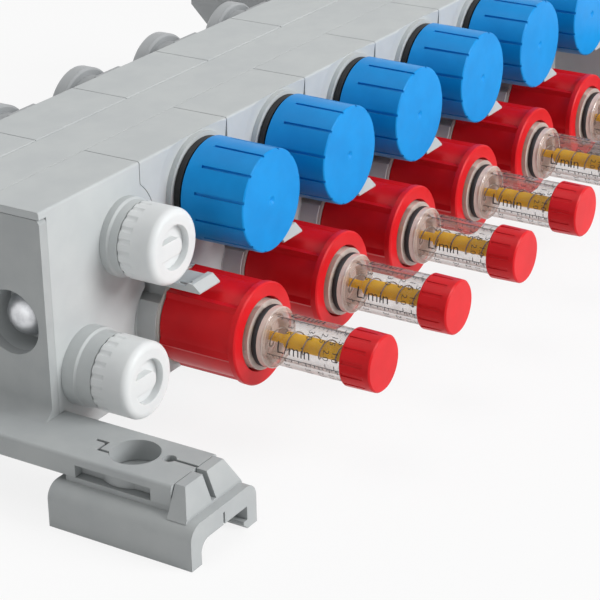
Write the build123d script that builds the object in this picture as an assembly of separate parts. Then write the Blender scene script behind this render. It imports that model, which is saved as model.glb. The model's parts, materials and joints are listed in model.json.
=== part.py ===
from build123d import *
import math
import os

# Underfloor heating manifold: six supply loops with flow meters and six return loops with
# hand caps, in one row of plastic modules between two wall brackets.
# The working frame has X along the manifold, Y from the hand caps to the pipes and Z up,
# with its origin at the centre of the first hand cap's face. Everything is moved at the end,
# so that the origin lies at the middle of the base, under the feet.
# Lengths are in millimetres.

# Driving dimensions: the row of modules
LOOPS = 6
PITCH = 50.0
FIRST_SEAM = -33.4          # the seam before the first module, from the first hand cap's axis
SEAM_GAP = 0.3
NEAR_BLOCK = 51.2           # length of the end block with the drain valves
FAR_BLOCK = 10.0
FRONT = 28.5                # the front face, behind the hand caps' faces
BODY_DEPTH = 66.0
TOP = 19.0
BODY_HEIGHT = 79.5
EDGE_ROUND = 0.8

# The seam's curve in the front shell, seen from the front
SEAM_DEPTH = 15.0
BULGE_RADIUS = 18.0
BULGE_CENTRE = -11.0        # before the seam
BULGE_Z = -3.0
HOLLOW_RADIUS = 18.2
HOLLOW_CENTRE = 11.4        # after the seam
HOLLOW_Z = -38.5

# Water ways
CHAMBER_Y = 61.5
RETURN_Z = -3.0
SUPPLY_Z = -39.0
CHAMBER_RADIUS = 13.0
CHAMBER_END_WALL = 5.0
PORT_RADIUS = 7.5
SEAL_WIRE = 1.8
SEAL_SQUEEZE = 0.1
SEAL_LAND = 0.4             # wall between a chamber and the seal's groove

# Cover strip along the top
STRIP_START = 22.0          # behind the front face
STRIP_WIDTH = 19.5
STRIP_THICKNESS = 2.0
STRIP_GAP = 0.15
STRIP_CHAMFER = 0.7

# Return valves, under the blue hand caps
CAP_RADIUS = 17.5
CAP_REAR_RADIUS = 17.8
CAP_LENGTH = 24.3
CAP_GROOVES = 12
CAP_GROOVE_WIDTH = 0.9
CAP_GROOVE_DEPTH = 0.55
CAP_GROOVE_LENGTH = 19.0
CAP_DIMPLE = 1.6
CAP_ROOF = 4.0
CAP_BORE = 15.0
CAP_TURNS = 2.0
CAP_THREAD_PITCH = 1.5
RING_LENGTH = 2.2
RING_RADIUS = 17.3
RING_GAP = 0.35
BOSS_RADIUS = 18.6
BOSS_HEIGHT = 1.0
DISH_RADIUS = 24.6
DISH_DEPTH = 0.9
INSERT_NECK = 11.0          # free length of the insert's threaded neck
INSERT_BORE = 8.5           # the insert's inner hollow, for the spring
INSERT_STEM = 9.5           # radius of the threaded stem in the module
INSERT_DEPTH = 20.0
INSERT_END_WALL = 1.6        # carries the spring
INSERT_WALL = 3.0            # the gland behind the boss's face
PIN_RADIUS = 2.0
PIN_TIP_GAP = 0.3
DISC_RADIUS = 8.0
DISC_THICKNESS = 2.5
PIN_COLLAR = 1.2            # height of the collar that the spring pushes on
PIN_COLLAR_LENGTH = 2.0
SEAT_RADIUS = 6.0
SPRING_RADIUS = 2.9
SPRING_WIRE = 0.8
SPRING_TURNS = 4

# Flow meters
METER_X = -22.0             # from the hand cap's axis
METER_Z = -37.0
METER_BOSS_RADIUS = 17.0
METER_BOSS_LENGTH = 7.2
COLLAR_RADIUS = 16.4
COLLAR_LENGTH = 1.0
SLEEVE_RADIUS = 16.0
SLEEVE_LENGTH = 27.5
SLEEVE_BORE = 12.6
SLEEVE_RIDGES = 6
SLEEVE_RIDGE_HEIGHT = 1.2
SLEEVE_RIDGE_WIDTH = 4.6
FLANGE_RADIUS = 17.4
FLANGE_THICKNESS = 2.4
METER_NECK = 12.2
METER_STEM = 9.0            # radius of the threaded stem in the module
METER_STEM_BORE = 6.4
METER_DEPTH = 15.0
METER_BORE = 8.6
GUIDE_THICKNESS = 2.0
GUIDE_PASSAGE = 1.7
TUBE_RADIUS = 8.7
TUBE_BORE = 7.0
TUBE_LENGTH = 35.0          # clear tube in front of its flange
TUBE_COLLAR_RADIUS = 11.8
TUBE_COLLAR_LENGTH = 4.8
TUBE_FLANGE_RADIUS = 10.3
TUBE_FLANGE_LENGTH = 2.4
TUBE_SPIGOT_LENGTH = 8.0
TUBE_SEAL_RADIUS = 10.4
TUBE_SEAL_WIDTH = 2.4
TUBE_SEAL_FLOOR = 8.0
TUBE_SHOULDER = 2.0
END_CAP_RADIUS = 9.7
END_CAP_LENGTH = 11.0
END_CAP_GRIP = 7.0          # length of tube held in the end cap
END_CAP_NOTCHES = 14
END_CAP_NOTCH_DEPTH = 0.35
ROD_RADIUS = 2.8
ROD_TIP_GAP = 0.8
ROD_CLEARANCE = 0.4
ROD_LENGTH = 31.0
HEAD_RADIUS = 5.2           # the head that the indicator's spring pushes on
HEAD_LENGTH = 1.2
STEM_RADIUS = 1.5
STEM_CLEARANCE = 0.3
SPRING_END_GAP = 0.15        # at each end of a spring
INDICATOR_TRAVEL = 20.0
PLATE_CLEARANCE = 0.5       # round the plate, in the outlet
PLATE_THICKNESS = 1.5
PLATE_GAP = 3.0             # from the outlet's mouth to the plate at no flow
METER_SPRING_WIRE = 0.45
METER_SPRING_GAP = 0.4
METER_SPRING_TURNS = 6

# Drain and fill valves on the near end block
DRAIN_UPPER_X = -43.0
DRAIN_LOWER_X = -66.0
DRAIN_UPPER_LENGTH = 6.2
DRAIN_LOWER_LENGTH = 10.7
DRAIN_RADIUS = 13.2
DRAIN_STEP = 0.7
DRAIN_NECK = 9.6
DRAIN_NECK_LENGTH = 8.0
DRAIN_STEM = 8.0
DRAIN_BORE = 5.0
DRAIN_CAP_RADIUS = 12.7
DRAIN_CAP_LENGTH = 13.3
DRAIN_CAP_BORE = 9.9
DRAIN_CAP_ROOF = 4.2
DRAIN_CAP_ROUND = 2.4
DRAIN_CAP_GAP = 0.4
DRAIN_CAP_SCALLOPS = 20
DRAIN_CAP_SCALLOP_RADIUS = 1.6
DRAIN_CAP_SCALLOP_DEPTH = 0.35
DRAIN_CAP_SCALLOP_LENGTH = 4.5
KEY_RADIUS = 7.4
KEY_DEPTH = 2.6
KEY_BAR = 5.6
KEY_REACH = 3.6
SPINDLE_RADIUS = 2.8
SPINDLE_SQUARE = 4.0
SPINDLE_SQUARE_LENGTH = 4.0
SPINDLE_HEAD = 4.4

# Pipe connections at the back
NIPPLE_RADIUS = 11.0
NIPPLE_LENGTH = 13.5
NUT_START = 2.0             # behind the body
NUT_COLLAR_LENGTH = 8.0
NUT_COLLAR_RADIUS = 17.2
NUT_FLATS = 8
NUT_WAIST_RADIUS = 13.8
NUT_WAIST_LENGTH = 9.5
NUT_RING_RADIUS = 16.6
NUT_RING_LENGTH = 6.0
NUT_WALL_CLEARANCE = 0.3
PIPE_RADIUS = 8.3
CLAMP_LENGTH = 5.0
CLAMP_SLIT = 1.2

# Main connections at the far end
MAIN_BORE = 10.5
MAIN_CLEARANCE = 0.4        # round the bore, in the far bracket

# Tie rods that hold the modules together
ROD_OFFSET = 19.1           # each side of the chambers' middle
ROD_Z = -20.0
TIE_RADIUS = 3.0
TIE_CLEARANCE = 0.3
NUT_POCKET = 10.8
POCKET_DEPTH = 13.0
DOME_RADIUS = 7.6
DOME_FLANGE = 9.0
DOME_FLANGE_THICKNESS = 1.6
DOME_LENGTH = 10.0
DOME_GROOVE = 0.8
DOME_TIP = 1.2              # radius of the dome's flat tip
DOME_ROOF = 2.9

# Clips across the seams
CLIP_X = -0.3               # middle of the clip, from the seam
CLIP_WIDTH = 11.5
CLIP_THICKNESS = 1.8
CLIP_Z = -18.3
CLIP_REACH = 26.0
CLIP_TONGUE = 8.0
CLIP_BEVEL = 2.6
CLIP_RIB = 1.0
CLIP_CLEARANCE = 0.1
CLIP_WINDOW_WIDTH = 6.4
CLIP_WINDOW_HEIGHT = 5.6
CLIP_WINDOW_DEPTH = 4.0

# Brackets
PLATE_WALL = 3.6
PLATE_TOP = 16.5
PLATE_LIP_GAP = 0.15
ARM_TOP = -50.0
ARM_THICKNESS = 7.0
ARM_WIDTH = 24.0
ARM_INBOARD = 7.1           # of the end plate's outer face
ARM_FILLET = 4.5
ARM_FRONT = -28.5
ARM_REAR = 209.0
ARM_EDGE_ROUND = 1.2
WEB_WALL = 4.0
WEB_OVERHANG = 17.0         # of the far bracket's wings, beyond the arm's ends
WING_TOP = -15.0
WING_SLOPE = 12.0
SCREW_HOLE = 8.0
SCREW_HOLE_FROM_END = 21.5
SCREW_HOLE_WALL = 2.4
WINDOW_LENGTH = 28.0
WINDOW_HEIGHT = 4.2
WINDOW_DEPTH = 3.4
SMALL_HOLE = 2.1
SMALL_HOLE_OFFSET = 3.4     # from the screw hole's edge
SMALL_HOLE_SHIFT = 2.0      # from the arm's middle, towards the body
SLIT = 1.1
SLIT_SHIFT = 4.2            # from the arm's middle, away from the body
SLIT_LEG = 3.0
SLIT_TAIL = 4.2
SLIT_TAIL_SHIFT = 0.6

# Foot clips
FOOT_WIDTH = 34.8
FOOT_LENGTH = 53.0
FOOT_OVERHANG = 10.5        # in front of the arm's end
FOOT_BOTTOM = -73.2
FOOT_TOP = -59.0
FOOT_LEG = 5.2
FOOT_CEILING = -65.6
FOOT_SHOULDER = 5.0         # radius of the upper corners
FOOT_INNER_ROUND = 4.0
FOOT_HOOK = 2.0
NECK_WIDTH = 23.4
NECK_GAP = 0.15
LUG_TOP_WIDTH = 20.0
LUG_BASE_WIDTH = 30.0
LUG_THICKNESS = 3.6
LUG_BASE_THICKNESS = 6.8
LUG_GAP = 0.3
LUG_SLOT = 2.2
FOOT_SCREW_HOLE = 3.2

BACK = FRONT + BODY_DEPTH
BOTTOM = TOP - BODY_HEIGHT
LAST_SEAM = FIRST_SEAM + LOOPS * PITCH
NEAR_FACE = FIRST_SEAM - NEAR_BLOCK
FAR_FACE = LAST_SEAM + FAR_BLOCK
FAR_OUTER = FAR_FACE + WEB_WALL
SEAL_RADIUS = CHAMBER_RADIUS + SEAL_LAND + SEAL_WIRE / 2
PLATE_RADIUS = PORT_RADIUS - abs(METER_Z - SUPPLY_Z) - PLATE_CLEARANCE
ROD_YS = (CHAMBER_Y - ROD_OFFSET, CHAMBER_Y + ROD_OFFSET)
ARM_MIDDLE_NEAR = NEAR_FACE + ARM_INBOARD - ARM_WIDTH / 2
ARM_MIDDLE_FAR = FAR_OUTER - ARM_INBOARD + ARM_WIDTH / 2
CAP_FACES = [k * PITCH for k in range(LOOPS)]

RING_START = FRONT - BOSS_HEIGHT - RING_GAP - RING_LENGTH
SLEEVE_REAR = FRONT - METER_BOSS_LENGTH - COLLAR_LENGTH - RING_GAP
SLEEVE_FRONT = SLEEVE_REAR - SLEEVE_LENGTH - FLANGE_THICKNESS
COLLAR_FRONT = SLEEVE_FRONT - 1.3
SEAL_FRONT = COLLAR_FRONT - TUBE_SEAL_WIDTH
TUBE_START = SEAL_FRONT - TUBE_FLANGE_LENGTH
TUBE_END = TUBE_START - TUBE_LENGTH
END_CAP_FRONT = TUBE_END + END_CAP_GRIP - END_CAP_LENGTH


def turned(*outline):
    """A piece turned about the Y axis, from its (radius, y) corners."""
    return revolve(make_face(Polyline(*outline, close=True)), Axis.Y)


def rod(radius, start, end):
    """A round bar along Y."""
    return turned((0, start), (radius, start), (radius, end), (0, end))


def slab(x0, x1, y0, y1, z0, z1):
    """A block between two corners."""
    centre = Pos((x0 + x1) / 2, (y0 + y1) / 2, (z0 + z1) / 2)
    return centre * Box(x1 - x0, y1 - y0, z1 - z0)


def lengthwise(radius, x0, x1, y, z):
    """A round bar along X."""
    return Pos((x0 + x1) / 2, y, z) * Rot(0, 90, 0) * Cylinder(radius, x1 - x0)


def seam_edges(x):
    """The seam's curve at x, from the top edge down to the bottom edge."""
    bulge_rise = math.sqrt(BULGE_RADIUS**2 - BULGE_CENTRE**2)
    hollow_rise = math.sqrt(HOLLOW_RADIUS**2 - HOLLOW_CENTRE**2)
    bulge_tip = x + BULGE_CENTRE + BULGE_RADIUS
    hollow_tip = x + HOLLOW_CENTRE - HOLLOW_RADIUS
    upper = (x, BULGE_Z + bulge_rise)
    below_bulge = (x, BULGE_Z - bulge_rise)
    above_hollow = (x, HOLLOW_Z + hollow_rise)
    lower = (x, HOLLOW_Z - hollow_rise)
    return (
        Line((x, TOP), upper)
        + ThreePointArc(upper, (bulge_tip, BULGE_Z), below_bulge)
        + Line(below_bulge, above_hollow)
        + ThreePointArc(above_hollow, (hollow_tip, HOLLOW_Z), lower)
        + Line(lower, (x, BOTTOM))
    )


def straight_edge(x):
    return Line((x, TOP), (x, BOTTOM))


def body_block(x0, x1, left_edge, right_edge):
    """One block of the row, with its strip recess and the holes for the tie rods."""
    outline = left_edge(x0) + right_edge(x1) + Line((x0, TOP), (x1, TOP)) + Line((x0, BOTTOM), (x1, BOTTOM))
    shell = extrude(Plane.XZ.offset(-FRONT) * make_face(outline), amount=-SEAM_DEPTH)
    block = shell + slab(x0, x1, FRONT + SEAM_DEPTH, BACK, BOTTOM, TOP)
    top_edges = block.edges().filter_by(Axis.X).group_by(Axis.Z)[-1]
    block = fillet(top_edges.filter_by(
        lambda e: min(abs(e.center().Y - FRONT), abs(e.center().Y - BACK)) < 0.01
    ), EDGE_ROUND)
    strip_y = FRONT + STRIP_START
    recess = Polyline(
        (strip_y, TOP + 1),
        (strip_y, TOP - STRIP_THICKNESS),
        (strip_y + STRIP_WIDTH, TOP - STRIP_THICKNESS),
        (strip_y + STRIP_WIDTH, TOP - STRIP_CHAMFER),
        (strip_y + STRIP_WIDTH + STRIP_CHAMFER + 1, TOP + 1),
        close=True,
    )
    reach = BULGE_RADIUS
    start = Plane.YZ.offset(x0 - reach)
    block -= extrude(start * make_face(recess), amount=x1 - x0 + 2 * reach)
    for y in ROD_YS:
        block -= lengthwise(TIE_RADIUS + TIE_CLEARANCE, x0 - reach, x1 + reach, y, ROD_Z)
    return block


def seal_grooves(x):
    """Two grooves that open towards -X, round the chambers."""
    depth = SEAL_WIRE + SEAL_SQUEEZE - SEAM_GAP
    grooves = []
    for z in (RETURN_Z, SUPPLY_Z):
        outer = lengthwise(SEAL_RADIUS + SEAL_WIRE / 2, x, x + depth, CHAMBER_Y, z)
        inner = lengthwise(SEAL_RADIUS - SEAL_WIRE / 2, x, x + depth, CHAMBER_Y, z)
        grooves.append(outer - inner)
    return grooves


def clip_slot(seam):
    """The slot for a clip's tongue, across a seam."""
    x = seam + CLIP_X
    half = CLIP_WIDTH / 2 + CLIP_CLEARANCE
    rise = CLIP_THICKNESS / 2 + CLIP_CLEARANCE
    end = FRONT + CLIP_TONGUE + CLIP_CLEARANCE
    return slab(x - half, x + half, FRONT - 1, end, CLIP_Z - rise, CLIP_Z + rise)


def loop_module(k):
    """One loop's module: return valve seat above, flow meter seat below, two ports behind."""
    seam = FIRST_SEAM + k * PITCH
    x0 = seam + SEAM_GAP / 2
    x1 = seam + PITCH - SEAM_GAP / 2
    valve_x = k * PITCH
    meter_x = valve_x + METER_X
    module = body_block(x0, x1, seam_edges, seam_edges)
    dish = turned(
        (0, FRONT - 1),
        (DISH_RADIUS + 1, FRONT - 1),
        (DISH_RADIUS, FRONT),
        (BOSS_RADIUS, FRONT + DISH_DEPTH),
        (0, FRONT + DISH_DEPTH),
    )
    module -= Pos(valve_x, 0, 0) * dish & slab(x0, x1, FRONT - 2, FRONT + 2, BOTTOM, TOP)
    module += Pos(valve_x, 0, 0) * rod(BOSS_RADIUS, FRONT - BOSS_HEIGHT, FRONT + DISH_DEPTH + 1)
    module += Pos(meter_x, 0, METER_Z) * rod(METER_BOSS_RADIUS, FRONT - METER_BOSS_LENGTH, FRONT + 1)
    for z in (RETURN_Z, SUPPLY_Z):
        module -= lengthwise(CHAMBER_RADIUS, x0, x1, CHAMBER_Y, z)
    module -= Pos(valve_x, 0, 0) * rod(INSERT_STEM, FRONT - BOSS_HEIGHT, CHAMBER_Y)
    module -= Pos(valve_x, 0, 0) * rod(SEAT_RADIUS, CHAMBER_Y, BACK - 8)
    module -= Pos(meter_x, 0, METER_Z) * rod(METER_STEM, FRONT - METER_BOSS_LENGTH, CHAMBER_Y)
    for x, z in ((valve_x, RETURN_Z), (meter_x, SUPPLY_Z)):
        module += Pos(x, 0, z) * rod(NIPPLE_RADIUS, BACK - 1, BACK + NIPPLE_LENGTH)
        module -= Pos(x, 0, z) * rod(PORT_RADIUS, CHAMBER_Y, BACK + NIPPLE_LENGTH)
    for groove in seal_grooves(x0):
        module -= groove
    for edge in (seam, seam + PITCH):
        module -= clip_slot(edge)
        window_x = edge + CLIP_X
        module -= slab(
            window_x - CLIP_WINDOW_WIDTH / 2,
            window_x + CLIP_WINDOW_WIDTH / 2,
            FRONT - METER_BOSS_LENGTH - 1,
            FRONT + CLIP_WINDOW_DEPTH,
            CLIP_Z - CLIP_THICKNESS - 2 - CLIP_WINDOW_HEIGHT,
            CLIP_Z - CLIP_THICKNESS - 2,
        )
    return module


def nut_pocket(x, direction):
    """The round pocket for a tie rod's nut, opening in the given direction."""
    near, far = sorted((x, x - direction * POCKET_DEPTH))
    return [lengthwise(NUT_POCKET, near, far, y, ROD_Z) for y in ROD_YS]


def near_end_block():
    """The end block with the two drain valves' seats."""
    x1 = FIRST_SEAM - SEAM_GAP / 2
    block = body_block(NEAR_FACE, x1, straight_edge, seam_edges)
    block -= slab(NEAR_FACE - 1, NEAR_FACE + PLATE_WALL, FRONT - 1, BACK + 1, BOTTOM - 1, PLATE_TOP)
    for z in (RETURN_Z, SUPPLY_Z):
        block -= lengthwise(CHAMBER_RADIUS, NEAR_FACE + PLATE_WALL + CHAMBER_END_WALL, x1 + 1, CHAMBER_Y, z)
    for pocket in nut_pocket(NEAR_FACE, -1):
        block -= pocket
    for x, z in ((DRAIN_UPPER_X, RETURN_Z), (DRAIN_LOWER_X, SUPPLY_Z)):
        block -= Pos(x, 0, z) * rod(DRAIN_STEM, FRONT - 1, CHAMBER_Y)
    block -= clip_slot(FIRST_SEAM)
    return block


def far_end_block():
    """The block at the far end, with the threaded bores for the main connections."""
    x0 = LAST_SEAM + SEAM_GAP / 2
    block = body_block(x0, FAR_FACE, seam_edges, straight_edge)
    for z in (RETURN_Z, SUPPLY_Z):
        block -= lengthwise(MAIN_BORE, x0 - 1, FAR_FACE + 1, CHAMBER_Y, z)
    for groove in seal_grooves(x0):
        block -= groove
    block -= clip_slot(LAST_SEAM)
    return block


def cover_strip():
    """The strip that lies in the recess along the whole top."""
    y0 = FRONT + STRIP_START + STRIP_GAP
    y1 = FRONT + STRIP_START + STRIP_WIDTH - STRIP_GAP
    strip = slab(NEAR_FACE, FAR_FACE, y0, y1, TOP - STRIP_THICKNESS, TOP)
    long_edges = strip.edges().filter_by(Axis.X).group_by(Axis.Z)[-1]
    return chamfer(long_edges, 0.25)


def hand_cap(x):
    """A hand cap with its grip grooves, threaded bore and central boss."""
    slope = (CAP_REAR_RADIUS - CAP_RADIUS) / CAP_LENGTH
    cap = turned(
        (CAP_DIMPLE, 0),
        (CAP_RADIUS - 0.4, 0),
        (CAP_RADIUS, 0.4),
        (CAP_REAR_RADIUS - slope * 0.3, CAP_LENGTH - 0.3),
        (CAP_REAR_RADIUS - 0.3, CAP_LENGTH),
        (CAP_BORE, CAP_LENGTH),
        (CAP_BORE, CAP_ROOF),
        (0, CAP_ROOF),
        (0, CAP_DIMPLE / 2),
    )
    half = CAP_GROOVE_WIDTH / 2
    groove = slab(-half, half, -1, CAP_GROOVE_LENGTH, CAP_RADIUS - CAP_GROOVE_DEPTH, CAP_RADIUS + 1)
    for n in range(CAP_GROOVES):
        cap -= Rot(0, (n + 0.5) * 360 / CAP_GROOVES, 0) * groove
    return Pos(x, 0, 0) * cap


def cap_ring():
    """The thin ring between a hand cap and the module."""
    return turned(
        (CAP_BORE - 0.6, RING_START),
        (RING_RADIUS, RING_START),
        (RING_RADIUS, RING_START + RING_LENGTH),
        (CAP_BORE - 0.6, RING_START + RING_LENGTH),
    )


def valve_insert():
    """The brass insert: neck under the cap, collar against the boss, stem in the module."""
    seat = FRONT - BOSS_HEIGHT
    ring_front = seat - RING_GAP - RING_LENGTH
    neck_front = ring_front - INSERT_NECK
    neck = CAP_BORE - 0.3
    inner_end = FRONT + INSERT_DEPTH
    pin_hole = PIN_RADIUS + STEM_CLEARANCE
    return turned(
        (pin_hole, neck_front),
        (neck - 0.8, neck_front),
        (neck, neck_front + 0.8),
        (neck, ring_front),
        (CAP_BORE - 0.7, ring_front),
        (CAP_BORE - 0.7, seat),
        (INSERT_STEM - 0.1, seat),
        (INSERT_STEM - 0.1, inner_end),
        (pin_hole, inner_end),
        (pin_hole, inner_end - INSERT_END_WALL),
        (INSERT_BORE, inner_end - INSERT_END_WALL),
        (INSERT_BORE, seat + INSERT_WALL),
        (pin_hole, seat + INSERT_WALL),
    )


def pin_collar_front():
    """Where the pin's collar starts when the valve is shut."""
    return FRONT - BOSS_HEIGHT + INSERT_WALL + CAP_TURNS * CAP_THREAD_PITCH + PIN_COLLAR


def valve_pin(x):
    """A valve's pin with its disc, shut against the seat in the chamber's rear wall."""
    disc_reach = DISC_RADIUS - RETURN_Z
    disc_back = CHAMBER_Y + math.sqrt(CHAMBER_RADIUS**2 - disc_reach**2) - 0.3
    disc_front = disc_back - DISC_THICKNESS
    collar = pin_collar_front()
    pin = turned(
        (0, CAP_ROOF + PIN_TIP_GAP),
        (PIN_RADIUS, CAP_ROOF + PIN_TIP_GAP),
        (PIN_RADIUS, collar - PIN_COLLAR / 2),
        (PIN_RADIUS + PIN_COLLAR, collar),
        (PIN_RADIUS + PIN_COLLAR, collar + PIN_COLLAR_LENGTH),
        (PIN_RADIUS, collar + PIN_COLLAR_LENGTH),
        (PIN_RADIUS, disc_front),
        (DISC_RADIUS, disc_front),
        (DISC_RADIUS, disc_back),
        (0, disc_back),
    )
    return Pos(x, 0, 0) * pin


def coil(radius, wire, start, length, turns):
    """A wire spring about Y, as a swept circle along a helix."""
    path = Helix(pitch=length / turns, height=length, radius=radius, direction=(0, 1, 0))
    section = Plane(origin=path @ 0, z_dir=path % 0) * Circle(wire / 2)
    return Pos(0, start, 0) * sweep(section, path=path)


def valve_spring():
    """The return spring between the insert's end wall and the pin's collar."""
    start = pin_collar_front() + PIN_COLLAR_LENGTH + SPRING_WIRE / 2 + SPRING_END_GAP
    end = FRONT + INSERT_DEPTH - INSERT_END_WALL - SPRING_WIRE / 2 - SPRING_END_GAP
    return coil(SPRING_RADIUS, SPRING_WIRE, start, end - start, SPRING_TURNS)


def meter_body():
    """The flow meter's fixed body: collar, neck under the sleeve, stem in the module."""
    seat = FRONT - METER_BOSS_LENGTH
    inner_end = FRONT + METER_DEPTH
    neck_front = COLLAR_FRONT + TUBE_COLLAR_LENGTH + 0.1
    guide = FRONT + GUIDE_THICKNESS
    body = turned(
        (METER_BORE, neck_front),
        (METER_NECK, neck_front),
        (METER_NECK, seat - COLLAR_LENGTH),
        (COLLAR_RADIUS, seat - COLLAR_LENGTH),
        (COLLAR_RADIUS, seat),
        (METER_STEM - 0.1, seat),
        (METER_STEM - 0.1, inner_end),
        (METER_STEM_BORE, inner_end),
        (METER_STEM_BORE, guide),
        (STEM_RADIUS + STEM_CLEARANCE, guide),
        (STEM_RADIUS + STEM_CLEARANCE, FRONT),
        (METER_STEM_BORE, FRONT),
        (METER_STEM_BORE, seat),
        (METER_BORE, seat),
    )
    passage = Pos(0, 0, (STEM_RADIUS + METER_STEM_BORE) / 2) * rod(GUIDE_PASSAGE, FRONT - 1, guide + 1)
    for n in range(3):
        body -= Rot(0, n * 120, 0) * passage
    return body


def adjusting_sleeve(x):
    """The red sleeve with its ridges and front flange."""
    sleeve = turned(
        (SLEEVE_BORE, SLEEVE_REAR),
        (SLEEVE_RADIUS, SLEEVE_REAR),
        (SLEEVE_RADIUS, SLEEVE_FRONT + FLANGE_THICKNESS + 0.6),
        (FLANGE_RADIUS, SLEEVE_FRONT + FLANGE_THICKNESS),
        (FLANGE_RADIUS, SLEEVE_FRONT + 0.5),
        (FLANGE_RADIUS - 0.5, SLEEVE_FRONT),
        (SLEEVE_BORE, SLEEVE_FRONT),
    )
    half = SLEEVE_RIDGE_WIDTH / 2
    tip = SLEEVE_RADIUS + SLEEVE_RIDGE_HEIGHT
    outline = Polyline((-half, SLEEVE_RADIUS - 0.6), (half, SLEEVE_RADIUS - 0.6), (0, tip), close=True)
    ridge_length = SLEEVE_LENGTH + FLANGE_THICKNESS / 2
    ridge = extrude(Plane.XZ.offset(-SLEEVE_REAR) * make_face(outline), amount=ridge_length)
    for n in range(SLEEVE_RIDGES):
        sleeve += Rot(0, (n + 0.3) * 360 / SLEEVE_RIDGES, 0) * ridge
    return Pos(x, 0, METER_Z) * sleeve


def sight_tube():
    """The clear tube with its collar, seal groove, flange and inner shoulder."""
    return turned(
        (TUBE_BORE, TUBE_END),
        (TUBE_RADIUS, TUBE_END),
        (TUBE_RADIUS, TUBE_START),
        (TUBE_FLANGE_RADIUS - 0.5, TUBE_START),
        (TUBE_FLANGE_RADIUS, TUBE_START + 0.5),
        (TUBE_FLANGE_RADIUS, SEAL_FRONT),
        (TUBE_SEAL_FLOOR, SEAL_FRONT),
        (TUBE_SEAL_FLOOR, COLLAR_FRONT),
        (TUBE_COLLAR_RADIUS, COLLAR_FRONT),
        (TUBE_COLLAR_RADIUS, COLLAR_FRONT + TUBE_COLLAR_LENGTH),
        (METER_BORE - 0.1, COLLAR_FRONT + TUBE_COLLAR_LENGTH),
        (METER_BORE - 0.1, COLLAR_FRONT + TUBE_COLLAR_LENGTH + TUBE_SPIGOT_LENGTH),
        (TUBE_BORE, COLLAR_FRONT + TUBE_COLLAR_LENGTH + TUBE_SPIGOT_LENGTH),
        (TUBE_BORE, COLLAR_FRONT + TUBE_SHOULDER),
        (ROD_RADIUS + ROD_CLEARANCE, COLLAR_FRONT + TUBE_SHOULDER),
        (ROD_RADIUS + ROD_CLEARANCE, COLLAR_FRONT),
        (TUBE_BORE, COLLAR_FRONT),
    )


def ring_seal(inner, outer, y0, y1, corner):
    """A rubber ring about Y with rounded corners."""
    profile = Pos((inner + outer) / 2, (y0 + y1) / 2) * RectangleRounded(outer - inner, y1 - y0, corner)
    return revolve(profile, Axis.Y)


def tube_seal():
    """The rubber ring in the sight tube's groove."""
    return ring_seal(TUBE_SEAL_FLOOR, TUBE_SEAL_RADIUS, SEAL_FRONT + 0.1, COLLAR_FRONT - 0.1, 1.0)


def tube_end_cap():
    """The red cap on the sight tube's end, with shallow grip notches."""
    front = END_CAP_FRONT
    rear = TUBE_END + END_CAP_GRIP
    cap = turned(
        (0, front),
        (END_CAP_RADIUS - 0.7, front),
        (END_CAP_RADIUS - 0.2, front + 0.5),
        (END_CAP_RADIUS, rear - 0.3),
        (END_CAP_RADIUS - 0.3, rear),
        (TUBE_RADIUS + 0.1, rear),
        (TUBE_RADIUS + 0.1, TUBE_END - 0.1),
        (0, TUBE_END - 0.1),
    )
    notch_start = front + 2.6
    notch = slab(-0.6, 0.6, notch_start, rear - 0.8, END_CAP_RADIUS - END_CAP_NOTCH_DEPTH, END_CAP_RADIUS + 1)
    for n in range(END_CAP_NOTCHES):
        cap -= Rot(0, n * 360 / END_CAP_NOTCHES, 0) * notch
    return cap


def flow_indicator(x):
    """The yellow rod with its spring head, thin stem and the plate in the outlet."""
    tip = TUBE_END + ROD_TIP_GAP
    plate = CHAMBER_Y + PLATE_GAP
    indicator = turned(
        (0, tip),
        (HEAD_RADIUS - 0.4, tip),
        (HEAD_RADIUS, tip + 0.4),
        (HEAD_RADIUS, tip + HEAD_LENGTH),
        (ROD_RADIUS, tip + HEAD_LENGTH),
        (ROD_RADIUS, tip + ROD_LENGTH),
        (STEM_RADIUS, tip + ROD_LENGTH + 1),
        (STEM_RADIUS, plate - PLATE_THICKNESS),
        (PLATE_RADIUS, plate - PLATE_THICKNESS),
        (PLATE_RADIUS, plate),
        (0, plate),
    )
    return Pos(x, 0, METER_Z) * indicator


def indicator_spring():
    """The wire spring wound round the yellow rod, from its head to the tube's shoulder."""
    radius = ROD_RADIUS + METER_SPRING_GAP + METER_SPRING_WIRE / 2
    start = TUBE_END + ROD_TIP_GAP + HEAD_LENGTH + METER_SPRING_WIRE / 2 + SPRING_END_GAP
    end = COLLAR_FRONT - METER_SPRING_WIRE / 2 - SPRING_END_GAP
    return coil(radius, METER_SPRING_WIRE, start, end - start, METER_SPRING_TURNS)


def drain_body(length):
    """A drain valve's body: stepped ring on the face, neck under the cap, stem in the block."""
    front = FRONT - length
    inner = FRONT + 16
    return turned(
        (DRAIN_BORE, front - DRAIN_NECK_LENGTH),
        (DRAIN_NECK, front - DRAIN_NECK_LENGTH),
        (DRAIN_NECK, front),
        (DRAIN_RADIUS - DRAIN_STEP, front),
        (DRAIN_RADIUS - DRAIN_STEP, front + length / 2),
        (DRAIN_RADIUS, front + length / 2 + DRAIN_STEP),
        (DRAIN_RADIUS, FRONT),
        (DRAIN_STEM - 0.1, FRONT),
        (DRAIN_STEM - 0.1, inner),
        (DRAIN_BORE, inner),
        (DRAIN_BORE, FRONT + 2),
        (SPINDLE_RADIUS + STEM_CLEARANCE, FRONT + 2),
        (SPINDLE_RADIUS + STEM_CLEARANCE, front - DRAIN_NECK_LENGTH + SPINDLE_SQUARE_LENGTH + 2),
        (DRAIN_BORE, front - DRAIN_NECK_LENGTH + SPINDLE_SQUARE_LENGTH + 2),
    )


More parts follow.
